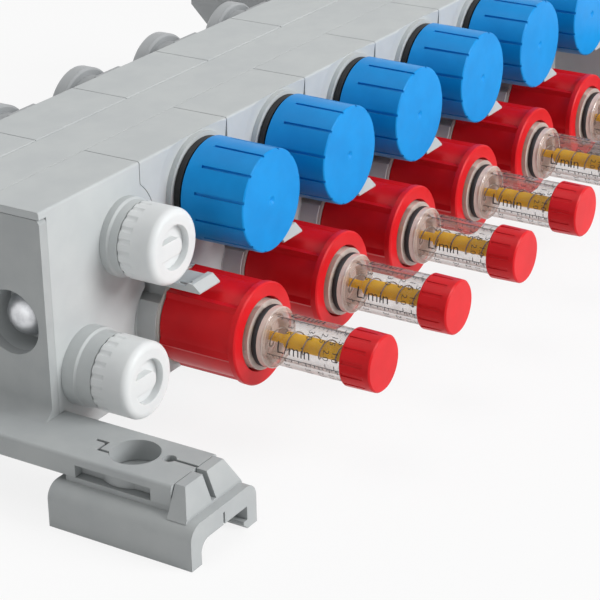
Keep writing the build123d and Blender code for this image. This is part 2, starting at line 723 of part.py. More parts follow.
def drain_spindle(length):
    """A drain valve's turning spindle, with a square for the key and a closing plug."""
    front = FRONT - length - DRAIN_NECK_LENGTH
    shoulder = front + SPINDLE_SQUARE_LENGTH + 2.3
    half = SPINDLE_SQUARE / 2
    square = slab(-half, half, front + 0.5, shoulder, -half, half)
    stem = turned(
        (0, shoulder),
        (SPINDLE_RADIUS, shoulder),
        (SPINDLE_RADIUS, FRONT + 2.3),
        (SPINDLE_HEAD, FRONT + 2.3),
        (SPINDLE_HEAD, FRONT + 12),
        (0, FRONT + 12),
    )
    return square + stem


def drain_cap(length):
    """A white drain cap with its rounded front, scalloped rear edge and key recess."""
    rear = FRONT - length - DRAIN_CAP_GAP
    front = rear - DRAIN_CAP_LENGTH
    barrel = turned(
        (0, front),
        (DRAIN_CAP_RADIUS, front),
        (DRAIN_CAP_RADIUS, rear),
        (DRAIN_CAP_BORE, rear),
        (DRAIN_CAP_BORE, front + DRAIN_CAP_ROOF),
        (0, front + DRAIN_CAP_ROOF),
    )
    rim = barrel.edges().filter_by(GeomType.CIRCLE).group_by(Axis.Y)[0]
    cap = fillet(rim.sort_by(SortBy.RADIUS)[-1], DRAIN_CAP_ROUND)
    recess = rod(KEY_RADIUS, front - 1, front + KEY_DEPTH)
    bar = slab(-KEY_RADIUS - 1, KEY_REACH, front - 2, front + KEY_DEPTH + 1, -KEY_BAR / 2, KEY_BAR / 2)
    bar = fillet(bar.edges().filter_by(Axis.Y).group_by(Axis.X)[-1], KEY_BAR / 2 - 0.4)
    cap -= recess - bar
    centre = DRAIN_CAP_RADIUS + DRAIN_CAP_SCALLOP_RADIUS - DRAIN_CAP_SCALLOP_DEPTH
    scallop = Pos(0, 0, centre) * rod(DRAIN_CAP_SCALLOP_RADIUS, rear - DRAIN_CAP_SCALLOP_LENGTH, rear + 1)
    for n in range(DRAIN_CAP_SCALLOPS):
        cap -= Rot(0, n * 360 / DRAIN_CAP_SCALLOPS, 0) * scallop
    return cap


def pipe_nut():
    """A union nut: flatted collar, waist and end ring, bored for nipple and pipe."""
    start = BACK + NUT_START
    waist = start + NUT_COLLAR_LENGTH
    ring = waist + NUT_WAIST_LENGTH
    end = ring + NUT_RING_LENGTH
    bore = NIPPLE_RADIUS + NUT_WALL_CLEARANCE
    stop = BACK + NIPPLE_LENGTH + CLAMP_LENGTH
    nut = turned(
        (bore, start),
        (NUT_COLLAR_RADIUS + 2, start),
        (NUT_COLLAR_RADIUS + 2, waist),
        (NUT_WAIST_RADIUS, waist),
        (NUT_WAIST_RADIUS, ring),
        (NUT_RING_RADIUS - 0.8, ring),
        (NUT_RING_RADIUS, ring + 0.8),
        (NUT_RING_RADIUS, end - 0.8),
        (NUT_RING_RADIUS - 0.8, end),
        (PIPE_RADIUS + 0.3, end),
        (PIPE_RADIUS + 0.3, stop),
        (bore, stop),
    )
    flats = RegularPolygon(NUT_COLLAR_RADIUS, NUT_FLATS, major_radius=False, rotation=22.5)
    envelope = extrude(Plane.XZ.offset(-start) * flats, amount=start - end)
    return nut & envelope


def clamp_ring():
    """The split ring that grips the pipe inside a union nut."""
    start = BACK + NIPPLE_LENGTH + 0.1
    end = BACK + NIPPLE_LENGTH + CLAMP_LENGTH - 0.1
    ring = turned(
        (PIPE_RADIUS, start),
        (NIPPLE_RADIUS, start),
        (NIPPLE_RADIUS, end - 1),
        (NIPPLE_RADIUS - 1, end),
        (PIPE_RADIUS, end),
    )
    return ring - slab(-CLAMP_SLIT / 2, CLAMP_SLIT / 2, start - 1, end + 1, 0, NIPPLE_RADIUS + 1)


def tie_rod(y):
    """A steel rod through all the modules, ending in the nuts."""
    near = NEAR_FACE + POCKET_DEPTH - DOME_LENGTH + 3
    far = FAR_OUTER + DOME_LENGTH - 3
    return lengthwise(TIE_RADIUS, near, far, y, ROD_Z)


def dome_nut():
    """A domed nut about X with a turned groove, its seat at x = 0 and its dome towards -X."""
    shoulder = DOME_FLANGE_THICKNESS
    crown = DOME_LENGTH - DOME_RADIUS * 0.8
    rise = DOME_LENGTH - crown
    bend = math.sqrt(0.5)
    bore = TIE_RADIUS + 0.1
    groove_y = (shoulder + crown) / 2
    outline = (
        Polyline(
            (0, DOME_LENGTH - DOME_ROOF),
            (bore, DOME_LENGTH - DOME_ROOF),
            (bore, 0),
            (DOME_FLANGE, 0),
            (DOME_FLANGE, shoulder),
            (DOME_RADIUS, shoulder),
            (DOME_RADIUS, groove_y - DOME_GROOVE / 2),
            (DOME_RADIUS - DOME_GROOVE, groove_y),
            (DOME_RADIUS, groove_y + DOME_GROOVE / 2),
            (DOME_RADIUS, crown),
        )
        + ThreePointArc(
            (DOME_RADIUS, crown), (DOME_RADIUS * bend, crown + rise * bend), (DOME_TIP, DOME_LENGTH)
        )
        + Polyline((DOME_TIP, DOME_LENGTH), (0, DOME_LENGTH), (0, DOME_LENGTH - DOME_ROOF))
    )
    return Rot(0, 0, 90) * revolve(make_face(outline), Axis.Y)


def joint_clip(seam):
    """A clip that ties two blocks: tongue in the slot, grip tab with a bevelled end."""
    rear = FRONT + CLIP_TONGUE
    front = FRONT - CLIP_REACH
    low = CLIP_Z - CLIP_THICKNESS / 2
    high = CLIP_Z + CLIP_THICKNESS / 2
    outline = Polyline(
        (rear, low),
        (rear, high),
        (front + CLIP_BEVEL + 3, high),
        (front + CLIP_BEVEL + 2, high + CLIP_RIB),
        (front + CLIP_BEVEL, high + CLIP_RIB),
        (front, low + 0.6),
        (front, low),
        close=True,
    )
    x = seam + CLIP_X
    clip = extrude(Plane.YZ.offset(x - CLIP_WIDTH / 2) * make_face(outline), amount=CLIP_WIDTH)
    clip -= slab(x - CLIP_WIDTH / 2 + 1.2, x - CLIP_WIDTH / 2 + 2.4, front + 4, front + 9, low - 1, high + 1)
    return clip


def arm(middle, inner_sign):
    """A bracket arm with its screw holes, slits and side windows; inner_sign points to the body."""
    low = ARM_TOP - ARM_THICKNESS
    bar = slab(middle - ARM_WIDTH / 2, middle + ARM_WIDTH / 2, ARM_FRONT, ARM_REAR, low, ARM_TOP)
    bar = fillet(bar.edges().filter_by(Axis.Y).group_by(Axis.Z)[-1], ARM_EDGE_ROUND)
    outer = middle - inner_sign * ARM_WIDTH / 2
    for end, inward in ((ARM_FRONT, 1), (ARM_REAR, -1)):
        hole_y = end + inward * SCREW_HOLE_FROM_END
        window_far = outer + inner_sign * WINDOW_DEPTH
        x0, x1 = sorted((outer - inner_sign, window_far))
        y0 = hole_y - WINDOW_LENGTH / 2
        window = slab(x0, x1, y0, y0 + WINDOW_LENGTH, low - 1, low + WINDOW_HEIGHT)
        wall = Pos(middle, hole_y, low) * Cylinder(
            SCREW_HOLE + SCREW_HOLE_WALL, ARM_THICKNESS * 2, align=(Align.CENTER, Align.CENTER, Align.MIN)
        )
        bar -= window - wall
        bar -= Pos(middle, hole_y, low - 1) * Cylinder(
            SCREW_HOLE, ARM_THICKNESS + 2, align=(Align.CENTER, Align.CENTER, Align.MIN)
        )
        small_y = hole_y - inward * (SCREW_HOLE + SMALL_HOLE_OFFSET)
        small_x = middle + inner_sign * SMALL_HOLE_SHIFT
        bar -= Pos(small_x, small_y, low - 1) * Cylinder(
            SMALL_HOLE, ARM_THICKNESS + 2, align=(Align.CENTER, Align.CENTER, Align.MIN)
        )
        y0, y1 = min(end, small_y) - 0.5, max(end, small_y) + 0.5
        bar -= slab(small_x - SLIT / 2, small_x + SLIT / 2, y0, y1, low - 1, ARM_TOP + 1)
        slit_x = middle - inner_sign * SLIT_SHIFT
        knee = hole_y + inward * (SCREW_HOLE + SLIT_LEG)
        start = hole_y + inward * (SCREW_HOLE - 2)
        far = knee + inward * SLIT_TAIL
        side_x = middle + inner_sign * SLIT_TAIL_SHIFT
        y0, y1 = sorted((start, knee))
        slit = slab(slit_x - SLIT / 2, slit_x + SLIT / 2, y0, y1, low - 1, ARM_TOP + 1)
        slit += slab(
            min(slit_x, side_x) - SLIT / 2, max(slit_x, side_x) + SLIT / 2,
            knee - SLIT / 2, knee + SLIT / 2, low - 1, ARM_TOP + 1,
        )
        y0, y1 = sorted((knee, far))
        slit += slab(side_x - SLIT / 2, side_x + SLIT / 2, y0, y1, low - 1, ARM_TOP + 1)
        bar -= slit
    return bar


def corner_fillet(x, z, radius, inner_sign):
    """The solid fillet between a plate's outer face at x and the arm's top at z."""
    outward = -inner_sign
    edge = (x + outward * radius, z)
    top = (x, z + radius)
    bend = radius * (1 - math.sqrt(0.5))
    middle = (x + outward * bend, z + bend)
    outline = Line((x, z), edge) + ThreePointArc(edge, middle, top) + Line(top, (x, z))
    return extrude(Plane.XZ.offset(-FRONT) * make_face(outline), amount=-BODY_DEPTH)


def near_bracket():
    """The near bracket: end plate and arm in one moulding."""
    low = ARM_TOP - ARM_THICKNESS
    inner = NEAR_FACE + PLATE_WALL
    plate = slab(NEAR_FACE, inner, FRONT, BACK, BOTTOM, PLATE_TOP - PLATE_LIP_GAP)
    tops = plate.edges().filter_by(Axis.X).group_by(Axis.Z)[-1]
    plate = fillet(tops, PLATE_WALL / 2)
    bar = arm(ARM_MIDDLE_NEAR, 1)
    bar -= slab(inner, inner + ARM_WIDTH, FRONT - 0.15, BACK + 0.15, low - 1, ARM_TOP + 1)
    bracket = plate + bar + corner_fillet(NEAR_FACE, ARM_TOP, ARM_FILLET, 1)
    for y in ROD_YS:
        bracket -= lengthwise(NUT_POCKET, NEAR_FACE - ARM_WIDTH, NEAR_FACE + PLATE_WALL + 1, y, ROD_Z)
    return bracket


def far_bracket():
    """The far bracket: a long web plate that overhangs the arm at both ends, and the arm."""
    low = ARM_TOP - ARM_THICKNESS
    y0 = ARM_FRONT - WEB_OVERHANG
    y1 = ARM_REAR + WEB_OVERHANG
    outline = Polyline(
        (ARM_FRONT, low),
        (ARM_REAR, low),
        (ARM_REAR, ARM_TOP),
        (y1, ARM_TOP + WEB_OVERHANG),
        (y1, WING_TOP - WING_SLOPE),
        (y1 - WING_SLOPE, WING_TOP),
        (BACK + WING_SLOPE, WING_TOP),
        (BACK, PLATE_TOP),
        (FRONT, PLATE_TOP),
        (FRONT - WING_SLOPE, WING_TOP),
        (y0 + WING_SLOPE, WING_TOP),
        (y0, WING_TOP - WING_SLOPE),
        (y0, ARM_TOP + WEB_OVERHANG),
        (ARM_FRONT, ARM_TOP),
        close=True,
    )
    web = extrude(Plane.YZ.offset(FAR_FACE) * make_face(outline), amount=WEB_WALL)
    bar = arm(ARM_MIDDLE_FAR, -1)
    bar -= slab(FAR_FACE - ARM_WIDTH, FAR_FACE, FRONT - 0.15, BACK + 0.15, low - 1, ARM_TOP + 1)
    bracket = web + bar + corner_fillet(FAR_OUTER, ARM_TOP, ARM_FILLET, -1)
    for y in ROD_YS:
        bracket -= lengthwise(TIE_RADIUS + TIE_CLEARANCE, FAR_FACE - 1, FAR_OUTER + 1, y, ROD_Z)
    port = MAIN_BORE + MAIN_CLEARANCE
    for z in (RETURN_Z, SUPPLY_Z):
        bracket -= lengthwise(port, FAR_FACE - 1, FAR_OUTER + ARM_FILLET + 1, CHAMBER_Y, z)
    return bracket


def foot_clip(middle, end, inward):
    """A foot that hooks over the arm's end and clips down on a rail along Y."""
    low = ARM_TOP - ARM_THICKNESS
    half = FOOT_WIDTH / 2
    shoulder_bend = FOOT_SHOULDER * (1 - math.sqrt(0.5))
    ceiling_bend = FOOT_INNER_ROUND * (1 - math.sqrt(0.5))
    channel = -half + FOOT_LEG
    hook = half - FOOT_LEG - FOOT_HOOK
    outline = (
        Line((-half, FOOT_BOTTOM), (-half, FOOT_TOP - FOOT_SHOULDER))
        + ThreePointArc(
            (-half, FOOT_TOP - FOOT_SHOULDER),
            (-half + shoulder_bend, FOOT_TOP - shoulder_bend),
            (-half + FOOT_SHOULDER, FOOT_TOP),
        )
        + Line((-half + FOOT_SHOULDER, FOOT_TOP), (half - FOOT_SHOULDER, FOOT_TOP))
        + ThreePointArc(
            (half - FOOT_SHOULDER, FOOT_TOP),
            (half - shoulder_bend, FOOT_TOP - shoulder_bend),
            (half, FOOT_TOP - FOOT_SHOULDER),
        )
        + Line((half, FOOT_TOP - FOOT_SHOULDER), (half, FOOT_BOTTOM))
        + Polyline(
            (half, FOOT_BOTTOM),
            (half - FOOT_LEG, FOOT_BOTTOM),
            (hook, FOOT_BOTTOM + FOOT_HOOK),
            (hook, FOOT_BOTTOM + 1.5 * FOOT_HOOK),
            (half - FOOT_LEG, FOOT_BOTTOM + 1.5 * FOOT_HOOK),
            (half - FOOT_LEG, FOOT_CEILING),
            (channel + FOOT_INNER_ROUND, FOOT_CEILING),
        )
        + ThreePointArc(
            (channel + FOOT_INNER_ROUND, FOOT_CEILING),
            (channel + ceiling_bend, FOOT_CEILING - ceiling_bend),
            (channel, FOOT_CEILING - FOOT_INNER_ROUND),
        )
        + Line((channel, FOOT_CEILING - FOOT_INNER_ROUND), (channel, FOOT_BOTTOM))
        + Line((channel, FOOT_BOTTOM), (-half, FOOT_BOTTOM))
    )
    foot = extrude(Plane.XZ.offset(FOOT_OVERHANG) * make_face(outline), amount=-FOOT_LENGTH)
    neck_end = FOOT_LENGTH - FOOT_OVERHANG
    foot += slab(-NECK_WIDTH / 2, NECK_WIDTH / 2, 0, neck_end - 3, FOOT_TOP - 1, low - NECK_GAP)
    lug_plane = Plane.XZ.offset(LUG_GAP)
    base = Polyline(
        (-LUG_BASE_WIDTH / 2, FOOT_TOP - 0.5),
        (LUG_BASE_WIDTH / 2, FOOT_TOP - 0.5),
        (LUG_TOP_WIDTH / 2, ARM_TOP),
        (-LUG_TOP_WIDTH / 2, ARM_TOP),
        close=True,
    )
    lug = extrude(lug_plane * make_face(base), amount=LUG_BASE_THICKNESS)
    slope = Polyline(
        (-LUG_GAP - LUG_THICKNESS, ARM_TOP + 1),
        (-LUG_GAP - LUG_THICKNESS, ARM_TOP),
        (-LUG_GAP - LUG_BASE_THICKNESS - 0.5, FOOT_TOP - 0.6),
        (-LUG_GAP - LUG_BASE_THICKNESS - 3, FOOT_TOP - 0.6),
        (-LUG_GAP - LUG_BASE_THICKNESS - 3, ARM_TOP + 1),
        close=True,
    )
    lug -= extrude(Plane.YZ.offset(-FOOT_WIDTH) * make_face(slope), amount=2 * FOOT_WIDTH)
    lug_front = -LUG_GAP - LUG_BASE_THICKNESS
    lug -= slab(-LUG_SLOT / 2, LUG_SLOT / 2, lug_front - 1, 1, FOOT_TOP + 0.8, ARM_TOP + 1)
    foot += lug
    foot -= slab(-0.4, 0.4, -FOOT_OVERHANG - 1, -FOOT_OVERHANG + 1.2, FOOT_CEILING - 1, FOOT_CEILING + 4)
    hole = Cylinder(FOOT_SCREW_HOLE, ARM_TOP - FOOT_BOTTOM)
    foot -= Pos(0, SCREW_HOLE_FROM_END, (FOOT_BOTTOM + ARM_TOP) / 2) * hole
    if inward < 0:
        foot = Rot(0, 0, 180) * foot
    return Pos(middle, end, 0) * foot


def at_valves(piece):
    """Six copies of a piece, one on each return valve's axis."""
    return Compound(children=[Pos(x, 0, 0) * piece for x in CAP_FACES])


def at_meters(piece):
    """Six copies of a piece, one on each flow meter's axis."""
    return Compound(children=[Pos(x + METER_X, 0, METER_Z) * piece for x in CAP_FACES])


def chamber_seals():
    """The rubber rings between the blocks, round both chambers."""
    rings = []
    for k in range(LOOPS + 1):
        x = FIRST_SEAM + k * PITCH - SEAM_GAP / 2 + SEAL_SQUEEZE / 2 + SEAL_WIRE / 2
        for z in (RETURN_Z, SUPPLY_Z):
            rings.append(Pos(x, CHAMBER_Y, z) * Rot(0, 90, 0) * Torus(SEAL_RADIUS, SEAL_WIRE / 2))
    return Compound(children=rings)


parts = {
    "near_end_block": near_end_block(),
    "far_end_block": far_end_block(),
    "cover_strip": cover_strip(),
    "near_bracket": near_bracket(),
    "far_bracket": far_bracket(),
    "near_front_foot": foot_clip(ARM_MIDDLE_NEAR, ARM_FRONT, 1),
    "near_rear_foot": foot_clip(ARM_MIDDLE_NEAR, ARM_REAR, -1),
    "far_front_foot": foot_clip(ARM_MIDDLE_FAR, ARM_FRONT, 1),
    "far_rear_foot": foot_clip(ARM_MIDDLE_FAR, ARM_REAR, -1),
    "tie_rods": Compound(children=[tie_rod(y) for y in ROD_YS]),
    "tie_rod_nuts": Compound(
        children=[Pos(NEAR_FACE + POCKET_DEPTH, y, ROD_Z) * dome_nut() for y in ROD_YS]
        + [Pos(FAR_OUTER, y, ROD_Z) * Rot(0, 0, 180) * dome_nut() for y in ROD_YS]
    ),
    "joint_clips": Compound(children=[joint_clip(FIRST_SEAM + k * PITCH) for k in range(LOOPS + 1)]),
    "chamber_seals": chamber_seals(),
    "cap_rings": at_valves(cap_ring()),
    "valve_inserts": at_valves(valve_insert()),
    "valve_springs": at_valves(valve_spring()),
    "meter_bodies": at_meters(meter_body()),
    "sight_tubes": at_meters(sight_tube()),
    "tube_seals": at_meters(tube_seal()),
    "indicator_springs": at_meters(indicator_spring()),
    "tube_end_caps": at_meters(tube_end_cap()),
    "pipe_nuts": Compound(
        children=[Pos(x, 0, RETURN_Z) * pipe_nut() for x in CAP_FACES]
        + [Pos(x + METER_X, 0, SUPPLY_Z) * pipe_nut() for x in CAP_FACES]
    ),
    "pipe_clamp_rings": Compound(
        children=[Pos(x, 0, RETURN_Z) * clamp_ring() for x in CAP_FACES]
        + [Pos(x + METER_X, 0, SUPPLY_Z) * clamp_ring() for x in CAP_FACES]
    ),
}
for k in range(LOOPS):
    number = k + 1
    parts[f"loop_module_{number}"] = loop_module(k)
    parts[f"hand_cap_{number}"] = hand_cap(CAP_FACES[k])
    parts[f"valve_pin_{number}"] = valve_pin(CAP_FACES[k])
    parts[f"adjusting_sleeve_{number}"] = adjusting_sleeve(CAP_FACES[k] + METER_X)
    parts[f"flow_indicator_{number}"] = flow_indicator(CAP_FACES[k] + METER_X)
for name, x, z, length in (
    ("upper", DRAIN_UPPER_X, RETURN_Z, DRAIN_UPPER_LENGTH),
    ("lower", DRAIN_LOWER_X, SUPPLY_Z, DRAIN_LOWER_LENGTH),
):
    parts[f"{name}_drain_body"] = Pos(x, 0, z) * drain_body(length)
    parts[f"{name}_drain_spindle"] = Pos(x, 0, z) * drain_spindle(length)
    parts[f"{name}_drain_cap"] = Pos(x, 0, z) * drain_cap(length)

# The origin moves to the middle of the base
X_MIN = ARM_MIDDLE_NEAR - FOOT_WIDTH / 2
X_MAX = ARM_MIDDLE_FAR + FOOT_WIDTH / 2
Y_MIN = END_CAP_FRONT
Y_MAX = ARM_REAR + WEB_OVERHANG
to_base = Pos(-(X_MIN + X_MAX) / 2, -(Y_MIN + Y_MAX) / 2, -FOOT_BOTTOM)

os.makedirs("parts", exist_ok=True)
for name, shape in parts.items():
    export_step(to_base * shape, f"parts/{name}.step")
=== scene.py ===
import json
import math

import bmesh
import bpy
from mathutils import Matrix, Vector


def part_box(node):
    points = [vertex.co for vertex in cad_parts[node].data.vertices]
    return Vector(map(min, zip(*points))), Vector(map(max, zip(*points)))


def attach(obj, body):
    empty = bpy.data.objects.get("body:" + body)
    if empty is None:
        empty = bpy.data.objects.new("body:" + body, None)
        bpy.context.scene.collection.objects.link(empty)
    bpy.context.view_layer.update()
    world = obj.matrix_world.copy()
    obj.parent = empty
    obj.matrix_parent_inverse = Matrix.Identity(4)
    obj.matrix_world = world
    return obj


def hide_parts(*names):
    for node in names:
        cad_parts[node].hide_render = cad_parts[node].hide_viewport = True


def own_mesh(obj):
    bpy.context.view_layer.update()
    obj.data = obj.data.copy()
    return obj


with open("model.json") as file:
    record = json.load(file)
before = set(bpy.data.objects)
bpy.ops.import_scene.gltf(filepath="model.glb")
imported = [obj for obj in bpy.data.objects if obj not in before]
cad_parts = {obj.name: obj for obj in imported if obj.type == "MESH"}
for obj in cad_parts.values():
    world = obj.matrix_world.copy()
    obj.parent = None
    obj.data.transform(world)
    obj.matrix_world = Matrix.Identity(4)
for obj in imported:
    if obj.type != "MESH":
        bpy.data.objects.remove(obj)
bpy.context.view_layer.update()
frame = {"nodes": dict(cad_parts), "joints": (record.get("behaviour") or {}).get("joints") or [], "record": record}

MM = 0.001
LOOPS = 6

# The springs round the indicators, in metres
SPRING_WIRE = 0.45 * MM
SPRING_TURNS = 6
SPRING_SIDES = 8                # faces round the wire
SPRING_STEPS = 28               # steps along each turn

# The sight tubes and the scales printed on them, in metres
TUBE_RADIUS = 8.7 * MM
FLANGE_LENGTH = 2.4 * MM        # the tube's clear flange in front of its seal
SCALE_FROM_SEAL = 3.2 * MM
SCALE_FROM_CAP = 0.4 * MM
SCALE_SIDE = math.radians(103.0)        # from straight up towards the near end
SCALE_TOP = SCALE_SIDE - math.pi / 2
INK_HEIGHT = 0.08 * MM
INK_LINE = 0.28 * MM
TICK_LONG = 1.5 * MM
TICK_SHORT = 0.9 * MM
NUMBER_SIZE = 3.0 * MM
NUMBER_ABOVE = 4.5 * MM         # from the scale's line to the middle of a number
NUMBER_BELOW = 4.0 * MM
UNIT_SIZE = 5.8 * MM
UNIT_ABOVE = 3.2 * MM
UNIT_START = 0.15               # share of the scale's length
UNIT_LENGTH = 12.0 * MM
LETTER_STRIP = 0.7 * MM         # width of the strips that bend round the tube
LETTER_THINNING = 0.006         # share of the letters' size taken off their strokes

# Socket numbers of a Mix node's share, two colours and result
MIX_SHARE, MIX_FIRST, MIX_SECOND, MIX_RESULT = 0, 6, 7, 2
BEVEL_SAMPLES = 4
NOISE_ROUGHNESS = 0.55


# Shader maths

class Field:
    """One socket in a node tree. Plus, minus and times work on it as on a number."""

    def __init__(self, nodes, socket):
        self.nodes = nodes
        self.socket = socket

    def maths(self, operation, first, second):
        return self.nodes.node("ShaderNodeMath", {"operation": operation}, {0: first, 1: second})

    def __add__(self, other):
        return self.maths("ADD", self, other)

    __radd__ = __add__

    def __sub__(self, other):
        return self.maths("SUBTRACT", self, other)

    def __rsub__(self, other):
        return self.maths("SUBTRACT", other, self)

    def __mul__(self, other):
        return self.maths("MULTIPLY", self, other)

    __rmul__ = __mul__

    def either(self, other):
        """The larger of the two."""
        return self.maths("MAXIMUM", self, other)

    def between(self, low, high):
        """0 below low, 1 above high, smooth in between."""
        settings = {"interpolation_type": "SMOOTHSTEP"}
        sockets = {"Value": self, "From Min": low, "From Max": high}
        return self.nodes.node("ShaderNodeMapRange", settings, sockets)


class Nodes:
    """The node tree of a finish or of the room's light."""

    def __init__(self, tree, output):
        self.tree = tree
        tree.nodes.clear()
        self.output = tree.nodes.new(output)

    def node(self, kind, settings=None, sockets=None, output=0):
        """Adds a node: its settings first, then the values or links of its sockets."""
        node = self.tree.nodes.new(kind)
        for name, value in (settings or {}).items():
            setattr(node, name, value)
        for name, value in (sockets or {}).items():
            self.feed(node.inputs[name], value)
        return Field(self, node.outputs[output])

    def feed(self, socket, value):
        if isinstance(value, Field):
            self.tree.links.new(value.socket, socket)
        else:
            socket.default_value = value

    def seen(self):
        """1 for what the camera sees, also in metal and through clear plastic, and 0 for light."""
        camera = self.node("ShaderNodeLightPath", output="Is Camera Ray")
        glossy = self.node("ShaderNodeLightPath", output="Is Glossy Ray")
        through = self.node("ShaderNodeLightPath", output="Is Transmission Ray")
        return camera.either(glossy).either(through)


class Finish(Nodes):
    """A material with one Principled shader."""

    def __init__(self, name, **constants):
        self.material = bpy.data.materials.new(name)
        self.material.use_nodes = True
        super().__init__(self.material.node_tree, "ShaderNodeOutputMaterial")
        self.shader = self.tree.nodes.new("ShaderNodeBsdfPrincipled")
        self.tree.links.new(self.shader.outputs[0], self.output.inputs["Surface"])
        for socket, value in constants.items():
            self.constant(socket.replace("_", " "), value)

    def constant(self, socket, value):
        """What is the same all over the surface."""
        self.shader.inputs[socket].default_value = value

    def surface(self, socket, value):
        """What changes over the surface."""
        self.feed(self.shader.inputs[socket], value)

    def place(self):
        """The point on the piece, in metres."""
        return self.node("ShaderNodeTexCoord", output="Object")

    def noise(self, grain, detail=3.0):
        """Noise whose lumps are about grain wide, in metres."""
        sockets = {"Vector": self.place(), "Scale": 1.0 / grain, "Detail": detail,
                   "Roughness": NOISE_ROUGHNESS}
        return self.node("ShaderNodeTexNoise", {"noise_dimensions": "3D"}, sockets)

    def blend(self, share, first, second):
        """first where share is 0 and second where it is 1, as colours."""
        settings = {"data_type": "RGBA", "blend_type": "MIX"}
        sockets = {MIX_SHARE: share, MIX_FIRST: first, MIX_SECOND: second}
        return self.node("ShaderNodeMix", settings, sockets, output=MIX_RESULT)

    def relief(self, height, strength, depth, edge=0.0):
        """Bump on the normal, over softened edges where edge is given."""
        sockets = {"Height": height, "Strength": strength, "Distance": depth}
        if edge:
            settings = {"samples": BEVEL_SAMPLES}
            sockets["Normal"] = self.node("ShaderNodeBevel", settings, {"Radius": edge})
        self.surface("Normal", self.node("ShaderNodeBump", None, sockets))


def moulded_plastic(name, colour, deep, rough, grain=0.35 * MM, gloss=0.3, mottle=14 * MM, wax=0.0):
    """Injection moulded plastic: cloudy colour, uneven shine, fine eroded grain, soft edges.

    deep is the colour of the darker clouds, mottle their width, and wax the share of light that
    goes into the plastic.
    """
    finish = Finish(name, IOR=1.49, Specular_IOR_Level=gloss)
    cloud = finish.noise(mottle)
    fine = finish.noise(grain, detail=2.0)
    flow = finish.noise(4 * MM, detail=4.0)
    uneven = (flow - 0.5) * 0.16
    eroded = (fine - 0.5) * 0.08
    finish.surface("Base Color", finish.blend(cloud.between(0.3, 0.7), deep, colour))
    finish.surface("Roughness", rough + uneven + eroded)
    finish.relief(fine + flow * 0.5, strength=0.22, depth=0.03 * MM, edge=0.35 * MM)
    if wax:
        finish.constant("Subsurface Weight", wax)
        finish.constant("Subsurface Radius", (0.9, 0.9, 0.9))
        finish.constant("Subsurface Scale", 2.5 * MM)
    return finish.material


def soft_rubber():
    """Dull black rubber with a dusty bloom."""
    finish = Finish("black_rubber", IOR=1.5, Specular_IOR_Level=0.35)
    bloom = finish.noise(2.5 * MM, detail=4.0)
    black = (0.010, 0.010, 0.011, 1)
    dusty = (0.026, 0.026, 0.028, 1)
    finish.surface("Base Color", finish.blend(bloom.between(0.45, 0.8), black, dusty))
    finish.surface("Roughness", 0.5 + bloom * 0.2)
    finish.relief(finish.noise(0.3 * MM), strength=0.15, depth=0.02 * MM)
    return finish.material


def clear_tube():
    """Warm clear plastic: thin in the tube, denser towards its rim and milky in the thick collar.

    Shadow rays pass through it, so that the indicator inside is lit.
    """
    seal_low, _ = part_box("tube_seals")
    tube_base = seal_low[1] - FLANGE_LENGTH
    finish = Finish("clear_plastic", IOR=1.49, Specular_IOR_Level=0.5)
    haze = finish.noise(3 * MM, detail=4.0)
    along_tube = finish.node("ShaderNodeSeparateXYZ", None, {0: finish.place()}, output="Y")
    collar = along_tube.between(tube_base - 0.5 * MM, tube_base + 0.3 * MM)
    cloud = haze.between(0.35, 0.75)
    facing = finish.node("ShaderNodeLayerWeight", None, {"Blend": 0.5}, output="Facing")
    rim = facing.between(0.25, 0.95)
    tube_tint = finish.blend(cloud, (0.46, 0.31, 0.25, 1), (0.38, 0.25, 0.20, 1))
    collar_tint = finish.blend(cloud, (0.72, 0.61, 0.55, 1), (0.62, 0.51, 0.46, 1))
    density = 0.10 + rim * 0.42 + collar * 0.42 + cloud * 0.06
    lit_through = 1 - finish.node("ShaderNodeLightPath", output="Is Shadow Ray")
    finish.surface("Base Color", finish.blend(collar, tube_tint, collar_tint))
    finish.surface("Roughness", 0.06 + haze.between(0.5, 0.9) * 0.07)
    finish.surface("Alpha", density * lit_through)
    finish.relief(finish.noise(5 * MM, detail=2.0), strength=0.12, depth=0.08 * MM)
    return finish.material


def worked_metal(name, colour, dull, rough):
    """Metal with a fine grain, a little oxide in the dull colour and soft edges."""
    finish = Finish(name, Metallic=1.0)
    tarnish = finish.noise(3 * MM, detail=5.0)
    grain = finish.noise(0.25 * MM, detail=2.0)
    finish.surface("Base Color", finish.blend(tarnish.between(0.4, 0.75), colour, dull))
    finish.surface("Roughness", rough + (tarnish - 0.5) * 0.2)
    finish.relief(grain, strength=0.12, depth=0.02 * MM, edge=0.2 * MM)
    return finish.material


def black_ink():
    """Printed ink with thin spots."""
    finish = Finish("black_ink", IOR=1.45)
    thin = finish.noise(0.5 * MM)
    full = (0.012, 0.012, 0.014, 1)
    worn = (0.05, 0.05, 0.055, 1)
    finish.surface("Base Color", finish.blend(thin.between(0.55, 0.8), full, worn))
    finish.surface("Roughness", 0.4 + thin * 0.2)
    return finish.material


